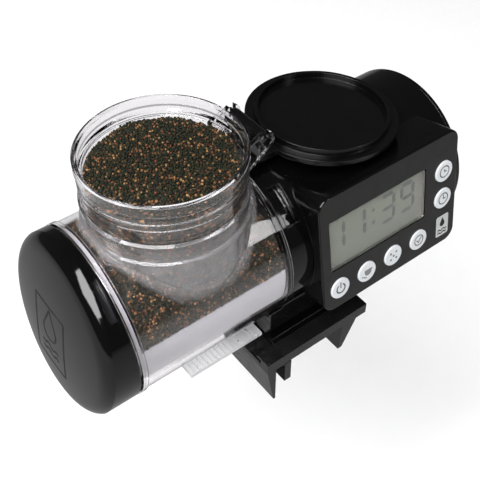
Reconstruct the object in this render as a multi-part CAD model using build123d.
from build123d import *
import math
import os

# Automatic aquarium feeder: a clear food drum with a filling hopper, a black drive housing with a
# timer panel, and a clamp bracket that hangs the feeder on the rim of a tank.
# Working frame, in millimetres: +X runs along the drum from the end cap to the housing, the drum axis
# is y = z = 0, x = 0 is the end cap's open edge, the panel faces -Y and +Z is up.
# Every file is written with its origin at RIM_SEAT, where the tank rim bears on the bracket.

# ---- driving dimensions ----
DRUM_R = 32.0
DRUM_BORE_R = 30.2
DRUM_X0, DRUM_X1 = 0.5, 62.6
HOPPER_X = 33.5
HOPPER_TOP = 54.75
HOUSING_R = 32.1
HOUSING_BORE_R = 30.0
HOUSING_X0, HOUSING_X1 = 63.0, 144.3
COVER_X1 = 146.3

# bayonet joints: lug centre counted from the top towards the panel, lug width, turn to unlock
LUG_ANGLE, LUG_WIDTH, LUG_TURN = 38.0, 28.0, 36.0
NECK_X = -4.0  # end of the container's neck, inside the cap
CAP_FACE_X, CAP_FACE_TILT = -9.4, 9.2  # the cap's face slants, deeper below than above
LUG_COUNT = 3

# panel: tilted back, laid out in its own plane (X across, M up the face, N out of the face)
PANEL_TILT = 10.0
PANEL_X0, PANEL_X1 = 71.8, 139.0
PANEL_M0, PANEL_M1 = -24.0, 25.6
PANEL_FACE_N = 36.5
PANEL_BACK_N = 32.3
BOX_WALL = 1.8
SCREEN_X, SCREEN_M = 99.15, 4.52
SCREEN_W, SCREEN_H = 46.5, 21.8
BUTTON_R = 4.3
BUTTONS = {
    "power_button": (79.4, -15.2),
    "feed_button": (92.4, -15.2),
    "portion_button": (105.7, -15.2),
    "set_button": (119.0, -15.2),
    "hour_button": (131.6, 9.9),
    "minute_button": (131.6, -2.2),
}
BOARD_SCREWS = [(77.8, 20.0), (131.6, 20.0), (86.0, -19.4), (131.6, -17.5)]
BOARD_N0, BOARD_N1 = 26.0, 27.6

# lid and its hinge on the hopper
HINGE_X, HINGE_Z = 67.2, 46.5
LID_OPEN = 183.0
LID_R = 27.6
LID_UNDERSIDE = HOPPER_TOP + 0.1
LID_TOP = LID_UNDERSIDE + 2.3

# drive train
OUTPUT_TEETH, OUTPUT_MODULE = 48, 0.6
PINION_TEETH = 12
WHEEL_TEETH, WHEEL_MODULE = 40, 0.5
WHEEL_ANGLE = -75.0
MOTOR_ANGLE = 190.0
GEAR_GAP = 0.12
SHAFT_R = 3.0

# batteries: two AA cells side by side
CELL_R, CELL_X0, CELL_X1 = 7.25, 91.6, 141.6
CELLS = [(15.0, 10.0), (15.0, -8.0)]

# foot rail, bracket and clamp jaw
FOOT_X0, FOOT_X1 = 57.5, 96.0
FOOT_Y0, FOOT_Y1 = -26.5, 12.0
RAIL_Y0, RAIL_Y1 = -31.4, 15.0
RAIL_Z0, RAIL_Z1 = -37.0, -35.4
BRACKET_X0, BRACKET_X1 = 49.0, 98.5
BRACKET_Y0, BRACKET_Y1 = -36.0, 22.0
SEAT_Z = -39.6
PLATE_Z = -37.2
LEG_FACE_X = 53.0
LEG_Z = -58.5
JAW_FACE_X = 57.3
JAW_Z = -50.8

RIM_SEAT = ((LEG_FACE_X + JAW_FACE_X) / 2, (BRACKET_Y0 + BRACKET_Y1) / 2, SEAT_Z)

PANEL_COS = math.cos(math.radians(PANEL_TILT))
PANEL_SIN = math.sin(math.radians(PANEL_TILT))
PANEL = Plane(origin=(0, 0, 0), x_dir=(1, 0, 0), z_dir=(0, -PANEL_COS, PANEL_SIN))


# ---- helpers ----
def save(name, shape):
    """Write one node with the rim seat as its origin."""
    moved = Pos(-RIM_SEAT[0], -RIM_SEAT[1], -RIM_SEAT[2]) * shape
    export_step(moved, f"parts/{name}.step")


def rod(x0, x1, r, y=0.0, z=0.0):
    """A round bar along X."""
    return extrude(Plane.YZ.offset(x0) * Pos(y, z) * Circle(r), x1 - x0)


def tube(x0, x1, r_out, r_in, y=0.0, z=0.0):
    return rod(x0, x1, r_out, y, z) - rod(x0 - 1, x1 + 1, r_in, y, z)


def block(x0, x1, y0, y1, z0, z1):
    return Pos((x0 + x1) / 2, (y0 + y1) / 2, (z0 + z1) / 2) * Box(x1 - x0, y1 - y0, z1 - z0)


def along_x(sketch, x0, x1):
    """Extrude a sketch drawn in (y, z)."""
    return extrude(Plane.YZ.offset(x0) * sketch, x1 - x0)


def along_y(sketch, y0, y1):
    """Extrude a sketch drawn in (x, z)."""
    return extrude(Plane.XZ.offset(-y1) * sketch, y1 - y0)


def on_panel(sketch, n0, n1):
    """Extrude a sketch drawn in the panel's own (x, m) plane."""
    return extrude(PANEL.offset(n0) * sketch, n1 - n0)


def polygon(points):
    return make_face(Polyline(*points, close=True))


def sector(x0, x1, r0, r1, middle, width):
    """Part of a ring about the drum axis; angles run from the top towards the panel."""
    face = polygon([(x0, r0), (x1, r0), (x1, r1), (x0, r1)])
    return Rot(middle - width / 2 + 90, 0, 0) * revolve(face, Axis.X, width)


def turned(points):
    """Solid of revolution about the drum axis from (x, r) points."""
    return revolve(polygon(points), Axis.X)


def bayonet_lugs(x0, x1, r0, r1):
    shape = None
    for i in range(LUG_COUNT):
        lug = sector(x0, x1, r0, r1, LUG_ANGLE + i * 360 / LUG_COUNT, LUG_WIDTH)
        shape = lug if shape is None else shape + lug
    return shape


def cut_bayonet(shape, x0, x1, mouth, r0, r1, r_window):
    """Cut the groove, entry channel and locking window of each lug into a collar."""
    slack = 1.4
    for i in range(LUG_COUNT):
        locked = LUG_ANGLE + i * 360 / LUG_COUNT
        middle = locked - LUG_TURN / 2
        shape -= sector(x0, x1, r0, r1, middle, LUG_WIDTH + LUG_TURN + slack)
        shape -= sector(min(x0, mouth), max(x1, mouth), r0, r1, locked - LUG_TURN, LUG_WIDTH + slack)
        shape -= sector(x0 + 0.3, x1 - 0.3, r0, r_window, locked, LUG_WIDTH - 2)
    return shape


def gear(teeth, module, x0, x1, bore, tooth_angle):
    """Involute spur gear about X, with one tooth centred on tooth_angle."""
    pitch_r = teeth * module / 2
    base_r = pitch_r * math.cos(math.radians(20))
    tip_r = pitch_r + 0.7 * module
    root_r = pitch_r - 1.0 * module
    half = math.pi / 2 / teeth - GEAR_GAP / 2 / pitch_r
    pressure = math.radians(20)
    half_base = half + math.tan(pressure) - pressure
    flank = []
    for i in range(5):
        r = max(base_r, root_r) + (tip_r - max(base_r, root_r)) * i / 4
        a = math.acos(min(1.0, base_r / r))
        flank.append((r, half_base - (math.tan(a) - a)))
    if root_r < base_r:
        flank.insert(0, (root_r, half_base))
    points = []
    for k in range(teeth):
        middle = math.radians(tooth_angle) + 2 * math.pi * k / teeth
        for r, a in flank:
            points.append((r * math.cos(middle - a), r * math.sin(middle - a)))
        for r, a in reversed(flank):
            points.append((r * math.cos(middle + a), r * math.sin(middle + a)))
    return along_x(polygon(points) - Circle(bore), x0, x1)


def polar(r, degrees):
    return (r * math.cos(math.radians(degrees)), r * math.sin(math.radians(degrees)))


WHEEL_DISTANCE = (OUTPUT_TEETH + PINION_TEETH) * OUTPUT_MODULE / 2
WHEEL_Y, WHEEL_Z = polar(WHEEL_DISTANCE, WHEEL_ANGLE)
MOTOR_DISTANCE = (WHEEL_TEETH + PINION_TEETH) * WHEEL_MODULE / 2
MOTOR_Y = WHEEL_Y + polar(MOTOR_DISTANCE, MOTOR_ANGLE)[0]
MOTOR_Z = WHEEL_Z + polar(MOTOR_DISTANCE, MOTOR_ANGLE)[1]
POSTS = [(-19.5, 8.0), (19.5, 17.5), (25.0, -6.0)]


# ---- food container ----
def hopper_outline(points):
    """Solid of revolution about the hopper's upright axis from (r, z) points."""
    face = make_face(Plane.XZ * Polyline(*points, close=True))
    return Pos(HOPPER_X, 0, 0) * revolve(face, Axis.Z)


def hinge_hook(y0, y1):
    """One open hook for the lid's pin, in the plane of the swing."""
    sketch = Pos(HINGE_X, HINGE_Z) * Circle(3.4)
    sketch += polygon([
        (57.5, 35.0), (HINGE_X + 2.8, HINGE_Z - 2.0), (HINGE_X - 2.6, HINGE_Z + 2.2), (57.5, 46.5),
    ])
    sketch -= Pos(HINGE_X, HINGE_Z) * Circle(1.58)
    sketch -= Pos(HINGE_X, HINGE_Z + 4) * Rectangle(2.5, 8)
    return along_y(sketch, y0, y1)


def food_container():
    outer = hopper_outline([
        (0, 0), (29.0, 0), (28.8, 13.0), (27.9, 29.0), (28.4, 29.4), (28.4, 31.2), (27.5, 31.8),
        (27.3, 36.4), (27.9, 36.9), (27.9, 38.3), (26.9, 38.9), (26.9, 50.4), (27.6, 51.0),
        (27.6, 54.2), (27.1, HOPPER_TOP), (0, HOPPER_TOP),
    ])
    for z in (44.4, 47.0):
        outer += Pos(HOPPER_X, 0, z) * Torus(26.9, 0.42)
    outer += rod(DRUM_X0, DRUM_X1, DRUM_R)
    outer += rod(DRUM_X0, 2.6, DRUM_R + 0.5)
    outer += rod(60.4, DRUM_X1, DRUM_R + 0.2)
    outer += rod(NECK_X, DRUM_X0, 30.6)
    outer += rod(DRUM_X1, 70.0, 29.5)
    outer += block(58.0, 62.6, -5.0, 5.0, 27.0, 33.6)
    outer += hinge_hook(8.3, 10.1)
    outer += hinge_hook(-10.1, -8.3)
    # outlet spout with the two flanges that carry the dosing slide
    outer += block(16.0, 47.5, -5.0, 5.0, -34.4, -28.0)
    outer += block(14.0, 47.5, -7.0, 7.0, -34.4, -33.4)
    # rest for the slide's finger strip
    outer += block(43.0, 57.0, -16.5, -9.5, -32.2, -26.0)
    bore = hopper_outline([
        (0, 0), (27.3, 0), (27.1, 13.0), (26.2, 29.0), (25.3, 38.0), (25.2, 49.0), (25.9, 50.0),
        (25.9, 53.7), (26.5, HOPPER_TOP), (26.5, 60.0), (0, 60.0),
    ])
    outer -= bore
    outer -= rod(3.0, 61.0, DRUM_BORE_R)
    outer -= rod(-8.0, 3.1, 29.3)
    outer -= rod(62.6, 71.0, 28.0)
    # boss at the end wall with a pocket for the rotor's seal
    outer += rod(61.5, 65.0, 7.0)
    outer -= rod(60.0, 66.0, 3.3)
    outer -= rod(62.6, 66.0, 5.4)
    outer -= block(20.0, 44.0, -3.5, 3.5, -36.0, -26.0)
    outer += bayonet_lugs(NECK_X + 0.4, -1.2, 30.2, 31.4)
    outer += bayonet_lugs(64.8, 69.6, 29.0, 31.0)
    return outer


def chamber_insert():
    """Grey inner trough: sloping floors lead the food to the dosing rotor and down the chute."""
    radius = 29.1
    floor_z = 5.6
    edge = math.sqrt(radius**2 - floor_z**2)
    food_space = polygon([
        (-edge - 2, floor_z + 0.5), (-10.0, -1.0), (10.0, -1.0), (edge + 2, floor_z + 0.5),
        (edge + 2, 40), (-edge - 2, 40),
    ])
    body = along_x(Circle(radius) - food_space, 0.8, 60.8)
    body -= rod(2.4, 70.0, 9.7)
    under = polygon([
        (-edge - 3, floor_z - 1.7), (-10.6, -2.9), (10.6, -2.9), (edge + 3, floor_z - 1.7),
        (edge, -40), (-edge, -40),
    ])
    hollow = (Circle(radius - 1.5) & under) - Circle(11.2) - Pos(0, -18) * Rectangle(10.0, 30.0)
    body -= along_x(hollow, 2.4, 62.0)
    body -= block(21.0, 43.0, -3.5, 3.5, -31.0, -8.0)
    body += rod(0.8, 2.4, radius)
    body -= rod(0.0, 3.0, SHAFT_R + 0.06)
    return body


def dosing_rotor():
    """Roller with six food pockets on the shaft that crosses the drum."""
    pocket = Pos(9.6, 0) * Circle(2.9)
    sketch = Circle(9.3)
    for i in range(6):
        sketch -= Rot(0, 0, 60 * i + 30) * pocket
    roller = along_x(sketch, 3.0, 60.4)
    roller += rod(0.9, 65.6, SHAFT_R)
    roller += along_x(Rectangle(2.0, 5.2), 65.6, 69.4)
    return roller


def dosing_slide():
    """Channel that runs on the spout's flanges, with a ribbed finger strip towards the panel side."""
    profile = [
        (-22.5, -33.4), (-12.0, -33.4), (-8.4, -32.0), (-5.3, -32.0), (-5.3, -33.2), (-7.2, -33.2),
        (-7.2, -34.6), (7.2, -34.6), (7.2, -33.2), (5.3, -33.2), (5.3, -32.0), (8.3, -32.0),
        (8.3, -35.7), (-8.4, -35.7), (-12.0, -35.0), (-22.5, -35.0),
    ]
    slide = along_x(polygon(profile), 24.0, 56.6)
    slide -= block(25.5, 42.0, -3.2, 3.2, -37.0, -34.0)
    for i in range(15):
        x = 25.6 + 2.0 * i
        slide += block(x, x + 0.9, -22.3, -15.0, -33.6, -33.0)
    return slide


def cap_face_space():
    """Everything behind the cap's face, which is a shallow dome on a slanted plane."""
    dome = Spline(
        [(-4.85, 0), (-4.45, 16.0), (-3.5, 26.0), (-2.3, 30.2), (-0.6, 32.0)],
        tangents=[(0, 1), (1, 0.6)],
    )
    rest = Polyline((-0.6, 32.0), (3.0, 34.0), (30.0, 34.0), (30.0, 0), (-4.85, 0))
    solid = revolve(make_face([dome, rest]), Axis.X)
    return Pos(CAP_FACE_X, 0, 0) * Rot(0, CAP_FACE_TILT, 0) * Rot(40, 0, 0) * solid


def end_cap():
    cap = turned([(-25.0, 0), (-25.0, 32.3), (-0.4, 32.3), (0, 32.0), (0, 0)]) & cap_face_space()
    cap -= rod(NECK_X - 1.4, 1.0, 30.8)
    cap -= rod(-25.0, NECK_X - 1.3, 28.8) & (Pos(2.0, 0, 0) * cap_face_space())
    return cut_bayonet(cap, NECK_X + 0.1, -0.9, 1.0, 30.5, 31.55, 34.0)


def hopper_lid():
    """Lid in its open position: a flange plate with a plug ring, turned over about the hinge."""
    middle = Pos(HOPPER_X, 0, 0)
    plate = middle * Pos(0, 0, (LID_UNDERSIDE + LID_TOP) / 2) * Cylinder(LID_R, LID_TOP - LID_UNDERSIDE)
    plate = fillet(plate.edges().group_by(Axis.Z)[-1], 0.5)
    # low ring that centres the lid; it is narrow enough to swing out of the rim
    ring_z = LID_UNDERSIDE - 2.2
    ring = hopper_outline([
        (22.9, LID_UNDERSIDE + 0.1), (24.6, LID_UNDERSIDE + 0.1), (24.2, ring_z), (22.9, ring_z),
    ])
    lid = plate + ring
    lid += block(58.0, 69.2, -7.5, 7.5, LID_UNDERSIDE, LID_TOP)
    lid += block(65.2, 69.2, -7.5, 7.5, HINGE_Z, LID_TOP)
    lid += Pos(HINGE_X, 0, HINGE_Z) * Rot(90, 0, 0) * Cylinder(2.6, 15.6)
    lid += Pos(HINGE_X, 0, HINGE_Z) * Rot(90, 0, 0) * Cylinder(1.5, 21.0)
    return Pos(HINGE_X, 0, HINGE_Z) * Rot(0, LID_OPEN, 0) * Pos(-HINGE_X, 0, -HINGE_Z) * lid


# ---- drive ----
def output_gear():
    bore_r = SHAFT_R + 0.02
    return gear(OUTPUT_TEETH, OUTPUT_MODULE, 75.4, 78.6, bore_r, WHEEL_ANGLE) + tube(78.6, 80.6, 5.0, bore_r)


def drive_shaft():
    """Shaft with the forked dog that takes the rotor's tongue."""
    shaft = rod(70.6, 84.6, SHAFT_R)
    shaft += rod(66.2, 70.6, 5.6)
    shaft -= along_x(Rectangle(2.3, 12.0), 65.0, 69.7)
    return shaft


def shaft_bush():
    return tube(70.8, 73.6, 4.6, SHAFT_R + 0.05) + tube(73.6, 75.0, 6.0, SHAFT_R + 0.05)


def intermediate_gear():
    wheel = gear(WHEEL_TEETH, WHEEL_MODULE, 79.4, 82.2, 1.25, MOTOR_ANGLE)
    pinion = gear(PINION_TEETH, OUTPUT_MODULE, 75.2, 79.4, 1.25, WHEEL_ANGLE + 180 + 180 / PINION_TEETH)
    return Pos(0, WHEEL_Y, WHEEL_Z) * (wheel + pinion)


def gear_axle():
    return rod(72.2, 85.6, 1.2, WHEEL_Y, WHEEL_Z)


def motor_pinion():
    tooth_angle = MOTOR_ANGLE + 180 + 180 / PINION_TEETH
    return Pos(0, MOTOR_Y, MOTOR_Z) * gear(PINION_TEETH, WHEEL_MODULE, 79.2, 82.4, 0.5, tooth_angle)


def motor_shaft():
    return rod(79.0, 86.0, 0.48, MOTOR_Y, MOTOR_Z)


def gear_motor():
    motor = rod(86.3, 106.0, 7.6, MOTOR_Y, MOTOR_Z) + rod(85.0, 86.3, 2.4, MOTOR_Y, MOTOR_Z)
    motor += rod(106.0, 107.4, 3.0, MOTOR_Y, MOTOR_Z)
    motor += block(107.0, 109.4, MOTOR_Y - 4.6, MOTOR_Y - 2.6, MOTOR_Z - 0.3, MOTOR_Z + 0.3)
    motor += block(105.5, 109.4, MOTOR_Y + 3.4, MOTOR_Y + 5.4, MOTOR_Z - 0.3, MOTOR_Z + 0.3)
    motor += block(105.5, 107.2, MOTOR_Y - 4.6, MOTOR_Y - 2.6, MOTOR_Z - 0.3, MOTOR_Z + 0.3)
    return motor - rod(84.0, 87.0, 0.6, MOTOR_Y, MOTOR_Z)


def gearbox_plate():
    plate = rod(84.2, 86.2, 29.2)
    # one side is cut away for the circuit board
    plate -= on_panel(Pos(85.2, 0) * Rectangle(10, 70), 23.6, 34.0)
    plate -= rod(84, 87, SHAFT_R + 0.05)
    plate -= rod(84, 87, 1.22, WHEEL_Y, WHEEL_Z)
    plate -= rod(84, 87, 2.5, MOTOR_Y, MOTOR_Z)
    for y, z in POSTS:
        plate -= rod(84, 87, 1.3, y, z)
    plate += tube(86.2, 92.0, 9.2, 7.7, MOTOR_Y, MOTOR_Z) & rod(80, 95, 29.2)
    return plate


def gearbox_screws():
    screws = None
    for y, z in POSTS:
        screw = rod(78.5, 86.2, 1.1, y, z) + rod(86.2, 87.6, 2.3, y, z)
        screw -= block(87.0, 88.0, y - 1.5, y + 1.5, z - 0.3, z + 0.3)
        screws = screw if screws is None else screws + screw
    return screws


# ---- batteries ----
def battery_tray():
    tray = None
    for y, z in CELLS:
        sleeve = rod(88.4, 139.0, CELL_R + 1.3, y, z)
        tray = sleeve if tray is None else tray + sleeve
    tray += block(88.4, 139.0, 12.0, 18.0, -6.0, 8.0)
    for y, z in CELLS:
        tray -= rod(89.8, 140.0, CELL_R + 0.15, y, z)
        tray -= block(87.0, 90.0, y - 1.5, y + 1.5, z - 1.5, z + 1.5)
    # thumb window along each sleeve
    tray -= block(98.0, 132.0, 19.0, 26.0, 5.0, 15.0)
    tray -= block(98.0, 132.0, 19.0, 26.0, -13.0, -3.0)
    tray += block(88.4, 112.0, 21.2, 22.6, -4.0, 6.0)
    return tray


def battery(index):
    y, z = CELLS[index]
    body = fillet(rod(CELL_X0 + 0.2, CELL_X1 - 1.2, CELL_R - 0.05, y, z).edges(), 0.5)
    nub_first = index == 0
    x = CELL_X1 - 1.2 if nub_first else CELL_X0 - 0.8
    return body + rod(x, x + 1.0, 2.7, y, z)


def contact_springs():
    """Two leaf contacts riveted to the tray's end wall, one for each cell."""
    shape = None
    for index, (y, z) in enumerate(CELLS):
        tip = CELL_X0 - 0.85 if index else CELL_X0 + 0.15
        leaf = block(89.85, 90.25, y - 3.0, y + 3.0, z - 5.0, z + 5.0)
        side = polygon([
            (90.0, z - 4.6), (tip - 0.4, z - 0.6), (tip - 0.4, z + 0.6),
            (tip, z + 0.6), (tip, z - 0.9), (90.2, z - 5.0),
        ])
        leaf += along_y(side, y - 2.0, y + 2.0)
        leaf += block(87.0, 90.0, y - 1.2, y + 1.2, z - 0.25, z + 0.25)
        shape = leaf if shape is None else shape + leaf
    return shape


def bridge_contact():
    """Plate on the cover that joins the two cells."""
    plate = block(142.6, 143.1, 12.2, 17.8, -11.5, 13.5)
    upper = [(142.8, 5.0), (141.5, 9.2), (141.5, 10.8), (142.8, 14.0), (143.0, 14.0), (143.0, 5.0)]
    lower = [(142.8, -12.0), (140.6, -9.0), (140.6, -7.0), (142.8, -4.0), (143.0, -4.0), (143.0, -12.0)]
    plate += along_y(polygon(upper), 13.0, 17.0)
    plate += along_y(polygon(lower), 13.0, 17.0)
    return plate


def battery_cover():
    cover = rod(143.1, HOUSING_X1, 29.6) + rod(HOUSING_X1, COVER_X1, HOUSING_R)
    cover = fillet(cover.edges().group_by(Axis.X)[-1], 1.0)
    cover += tube(139.4, 143.4, 29.6, 28.0)
    cover += bayonet_lugs(139.9, 141.9, 29.0, 30.75)
    # coin slot and finger dimples in the outer face
    cover -= block(COVER_X1 - 1.0, COVER_X1 + 1, -9.0, 9.0, -1.0, 1.0)
    return cover


# ---- housing ----
def panel_box(inset, n0, n1):
    x0, x1 = PANEL_X0 + 0.4 + inset, PANEL_X1 - 0.2 - inset
    m0, m1 = PANEL_M0 + 0.2 + inset, PANEL_M1 - 0.2 - inset
    sketch = Pos((x0 + x1) / 2, (m0 + m1) / 2) * RectangleRounded(x1 - x0, m1 - m0, max(4.6 - inset, 1.0))
    return on_panel(sketch, n0, n1)


def main_housing():
    shell = rod(HOUSING_X0, HOUSING_X1, HOUSING_R)
    shell += panel_box(0.0, 6.0, PANEL_BACK_N)
    foot = block(FOOT_X0, FOOT_X1 - 4.0, FOOT_Y0, FOOT_Y1, RAIL_Z0, -10.0)
    foot += block(FOOT_X0, FOOT_X1, RAIL_Y0, RAIL_Y1, RAIL_Z0, RAIL_Z1)
    foot -= rod(50.0, HOUSING_X0, DRUM_R + 0.9)
    shell += foot
    # wedge-shaped hollows that lighten the foot from below
    for x0 in (66.0, 79.0):
        shell -= block(x0, x0 + 10.0, -22.0, -3.0, -40.0, -33.6)
    shell -= rod(HOUSING_X0 - 6, 71.0, 29.75)
    shell -= rod(73.0, HOUSING_X1 + 1, HOUSING_BORE_R)
    shell -= panel_box(BOX_WALL, 5.0, PANEL_BACK_N + 1) & block(73.0, 143.0, -60.0, 0.0, -60.0, 60.0)
    shell = cut_bayonet(shell, 64.4, 70.2, HOUSING_X0 - 1, 29.0, 31.15, 34.0)
    for i in range(LUG_COUNT):
        locked = LUG_ANGLE + i * 360 / LUG_COUNT
        shell -= sector(139.5, 142.2, 29.0, 30.95, locked + LUG_TURN / 2, LUG_WIDTH + LUG_TURN + 1.4)
        shell -= sector(139.5, HOUSING_X1 + 1, 29.0, 30.95, locked + LUG_TURN, LUG_WIDTH + 1.4)
    shell += rod(71.0, 74.4, 7.6)
    shell -= rod(70.0, 73.7, 4.6)
    shell -= rod(73.6, 75.0, 6.05)
    shell += rod(73.0, 75.0, 3.0, WHEEL_Y, WHEEL_Z)
    shell -= rod(72.2, 76.0, 1.22, WHEEL_Y, WHEEL_Z)
    for y, z in POSTS:
        shell += rod(73.0, 84.2, 3.2, y, z)
        shell -= rod(78.0, 85.0, 1.15, y, z)
    return shell


# ---- timer panel ----
def screen_rectangle(width, height):
    return Pos(SCREEN_X, SCREEN_M) * Rectangle(width, height)


def panel_plate():
    width, height = PANEL_X1 - PANEL_X0, PANEL_M1 - PANEL_M0
    middle = Pos((PANEL_X0 + PANEL_X1) / 2, (PANEL_M0 + PANEL_M1) / 2)
    plate = on_panel(middle * RectangleRounded(width, height, 5.0), PANEL_BACK_N, PANEL_FACE_N)
    front = plate.faces().sort_by(lambda f: f.center().dot(PANEL.z_dir))[-1]
    plate = fillet(front.edges(), 0.8)
    ring_outside = panel_box(BOX_WALL + 0.2, PANEL_BACK_N - 0.9, PANEL_BACK_N)
    plate += ring_outside - panel_box(BOX_WALL + 1.2, PANEL_BACK_N - 2, PANEL_BACK_N + 1)
    plate -= on_panel(screen_rectangle(SCREEN_W, SCREEN_H), 30.0, 40.0)
    plate -= on_panel(screen_rectangle(47.2, 25.2), 30.0, 34.9)
    for x, m in BUTTONS.values():
        plate -= on_panel(Pos(x, m) * Circle(BUTTON_R + 0.3), 30.0, 40.0)
        plate -= on_panel(Pos(x, m) * Circle(5.35), 30.0, 34.9)
    for x, m in BOARD_SCREWS:
        plate += on_panel(Pos(x, m) * Circle(1.8), BOARD_N1, PANEL_BACK_N)
        plate -= on_panel(Pos(x, m) * Circle(1.0), BOARD_N1 - 1, 32.6)
    return plate


def lcd_window():
    return on_panel(screen_rectangle(SCREEN_W - 0.2, SCREEN_H - 0.2), 34.9, 36.0)


def lcd_module():
    return on_panel(screen_rectangle(47.0, 24.8), 32.8, 34.8)


def lcd_holder():
    sketch = screen_rectangle(46.0, 21.5) - screen_rectangle(41.0, 15.0)
    return on_panel(sketch, BOARD_N1, 32.7)


def contact_strips():
    """Rubber strips that join the screen to the board, above and below the opening of the holder."""
    upper = on_panel(Pos(SCREEN_X, SCREEN_M + 6.2) * Rectangle(40.0, 1.8), BOARD_N1, 32.75)
    lower = on_panel(Pos(SCREEN_X, SCREEN_M - 6.2) * Rectangle(40.0, 1.8), BOARD_N1, 32.75)
    return upper + lower


def circuit_board():
    sketch = Pos(105.5, 0.8) * RectangleRounded(60.4, 44.4, 1.5)
    for x, m in BOARD_SCREWS:
        sketch -= Pos(x, m) * Circle(1.1)
    return on_panel(sketch, BOARD_N0, BOARD_N1)


def board_parts():
    """Controller, crystal, capacitor and plug on the back of the board."""
    chip = on_panel(Pos(103.0, 2.0) * Rectangle(10.0, 10.0), BOARD_N0 - 1.6, BOARD_N0)
    crystal = on_panel(Pos(115.0, 6.0) * SlotOverall(8.0, 3.0), BOARD_N0 - 2.6, BOARD_N0)
    capacitor = on_panel(Pos(92.0, 9.0) * Circle(2.5), BOARD_N0 - 5.0, BOARD_N0)
    plug = on_panel(Pos(95.0, -8.0) * Rectangle(8.0, 4.5), BOARD_N0 - 4.0, BOARD_N0)
    return Compound([chip, crystal, capacitor, plug])


def button_switches():
    switches = []
    for x, m in BUTTONS.values():
        body = on_panel(Pos(x, m) * RectangleRounded(5.0, 5.0, 0.5), BOARD_N1, 30.0)
        switches.append(body + on_panel(Pos(x, m) * Circle(1.4), 30.0, 30.7))
    return Compound(switches)


def board_screws():
    screws = []
    for x, m in BOARD_SCREWS:
        screw = on_panel(Pos(x, m) * Circle(0.95), BOARD_N0, 31.5)
        screw += on_panel(Pos(x, m) * Circle(2.0), BOARD_N0 - 1.2, BOARD_N0)
        screws.append(screw - on_panel(Pos(x, m) * Rectangle(3.0, 0.5), BOARD_N0 - 1.3, BOARD_N0 - 0.6))
    return Compound(screws)


def button(x, m):
    cap = on_panel(Pos(x, m) * Circle(BUTTON_R), 33.9, PANEL_FACE_N + 0.5)
    cap = fillet(cap.edges().sort_by(lambda e: e.center().dot(PANEL.z_dir))[-1], 0.35)
    cap += on_panel(Pos(x, m) * Circle(5.1), 33.9, 34.7)
    return cap + on_panel(Pos(x, m) * Circle(1.5), 31.5, 33.9)


# ---- bracket ----
def mounting_bracket():
    y0, y1 = BRACKET_Y0, BRACKET_Y1
    under_z = SEAT_Z + 0.3
    bracket = block(BRACKET_X0, BRACKET_X1, y0, y1, under_z, PLATE_Z)
    # low pad in the glass slot: the tank's edge bears on it
    bracket += block(LEG_FACE_X - 1.0, JAW_FACE_X - 0.1, y0, y1, SEAT_Z, under_z + 0.5)
    # guide rails for the housing's foot
    bracket += block(BRACKET_X0, BRACKET_X1, y0, RAIL_Y0 - 0.2, under_z, -34.5)
    bracket += block(BRACKET_X0, BRACKET_X1, y0, RAIL_Y0 + 2.2, RAIL_Z1 + 0.25, -34.2)
    bracket += block(BRACKET_X0, BRACKET_X1, RAIL_Y1 + 0.2, RAIL_Y1 + 3.0, under_z, -34.5)
    bracket += block(BRACKET_X0, BRACKET_X1, RAIL_Y1 - 2.0, RAIL_Y1 + 3.0, RAIL_Z1 + 0.25, -34.5)
    # left leg, flat on the glass side, and a tapered right leg
    left = [
        (BRACKET_X0, under_z + 0.5), (LEG_FACE_X, under_z + 0.5),
        (LEG_FACE_X, LEG_Z), (LEG_FACE_X - 0.9, LEG_Z), (BRACKET_X0, SEAT_Z),
    ]
    bracket += along_y(polygon(left), y0, y1)
    right = [
        (86.3, SEAT_Z), (86.3, under_z + 0.5), (93.4, under_z + 0.5), (93.4, SEAT_Z),
        (87.2, -53.0), (85.2, -53.0),
    ]
    bracket += along_y(polygon(right), y0, y1)
    # two L rails under the plate that carry the jaw
    for side in (-1, 1):
        middle = (y0 + y1) / 2
        wall = sorted((middle + side * 13.2, middle + side * 15.4))
        lip = sorted((middle + side * 11.2, middle + side * 15.4))
        bracket += block(61.0, 85.5, wall[0], wall[1], -43.2, under_z + 0.5)
        bracket += block(61.0, 85.5, lip[0], lip[1], -43.2, -41.7)
    return bracket


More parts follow.
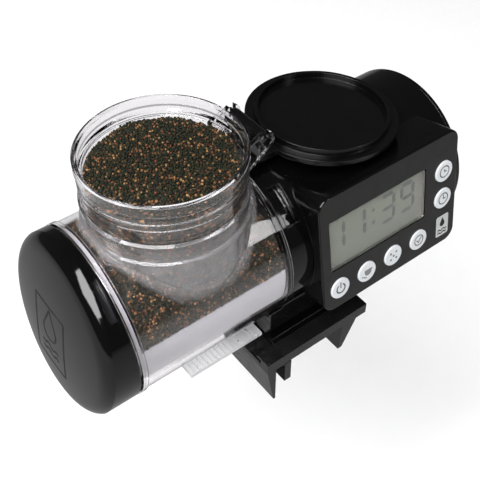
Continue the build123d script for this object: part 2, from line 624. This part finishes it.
def clamp_jaw():
    y0, y1 = BRACKET_Y0, BRACKET_Y1
    middle = (y0 + y1) / 2
    jaw = block(JAW_FACE_X, 60.4, y0, y1, JAW_Z, -43.4)
    jaw += block(JAW_FACE_X, 60.4, y0, middle - 15.6, -43.4, SEAT_Z - 0.2)
    jaw += block(JAW_FACE_X, 60.4, middle + 15.6, y1, -43.4, SEAT_Z - 0.2)
    jaw += block(JAW_FACE_X, 60.4, middle - 11.0, middle + 11.0, -43.4, SEAT_Z - 0.2)
    jaw += block(60.0, 69.0, middle - 13.0, middle + 13.0, -41.5, SEAT_Z - 0.2)
    # grip teeth across the face that presses on the glass
    for i in range(7):
        z = -42.2 - 1.25 * i
        notch = polygon([(JAW_FACE_X - 0.1, z - 0.55), (JAW_FACE_X + 0.6, z), (JAW_FACE_X - 0.1, z + 0.55)])
        jaw -= along_y(notch, y0 - 1, y1 + 1)
    return jaw


def main():
    os.makedirs("parts", exist_ok=True)
    save("food_container", food_container())
    save("chamber_insert", chamber_insert())
    save("dosing_rotor", dosing_rotor())
    save("dosing_slide", dosing_slide())
    save("end_cap", end_cap())
    save("cap_seal", tube(NECK_X - 1.3, NECK_X - 0.1, 30.5, 29.3))
    save("rotor_seal", tube(62.6, 64.8, 5.4, SHAFT_R + 0.05))
    save("hopper_lid", hopper_lid())
    save("drive_shaft", drive_shaft())
    save("output_gear", output_gear())
    save("shaft_bush", shaft_bush())
    save("intermediate_gear", intermediate_gear())
    save("gear_axle", gear_axle())
    save("motor_pinion", motor_pinion())
    save("motor_shaft", motor_shaft())
    save("gear_motor", gear_motor())
    save("gearbox_plate", gearbox_plate())
    save("gearbox_screws", gearbox_screws())
    save("battery_tray", battery_tray())
    save("front_battery", battery(0))
    save("rear_battery", battery(1))
    save("contact_springs", contact_springs())
    save("bridge_contact", bridge_contact())
    save("battery_cover", battery_cover())
    save("main_housing", main_housing())
    save("panel_plate", panel_plate())
    save("lcd_window", lcd_window())
    save("lcd_module", lcd_module())
    save("lcd_holder", lcd_holder())
    save("contact_strips", contact_strips())
    save("circuit_board", circuit_board())
    save("board_parts", board_parts())
    save("button_switches", button_switches())
    save("board_screws", board_screws())
    for name, (x, m) in BUTTONS.items():
        save(name, button(x, m))
    save("mounting_bracket", mounting_bracket())
    save("clamp_jaw", clamp_jaw())


main()
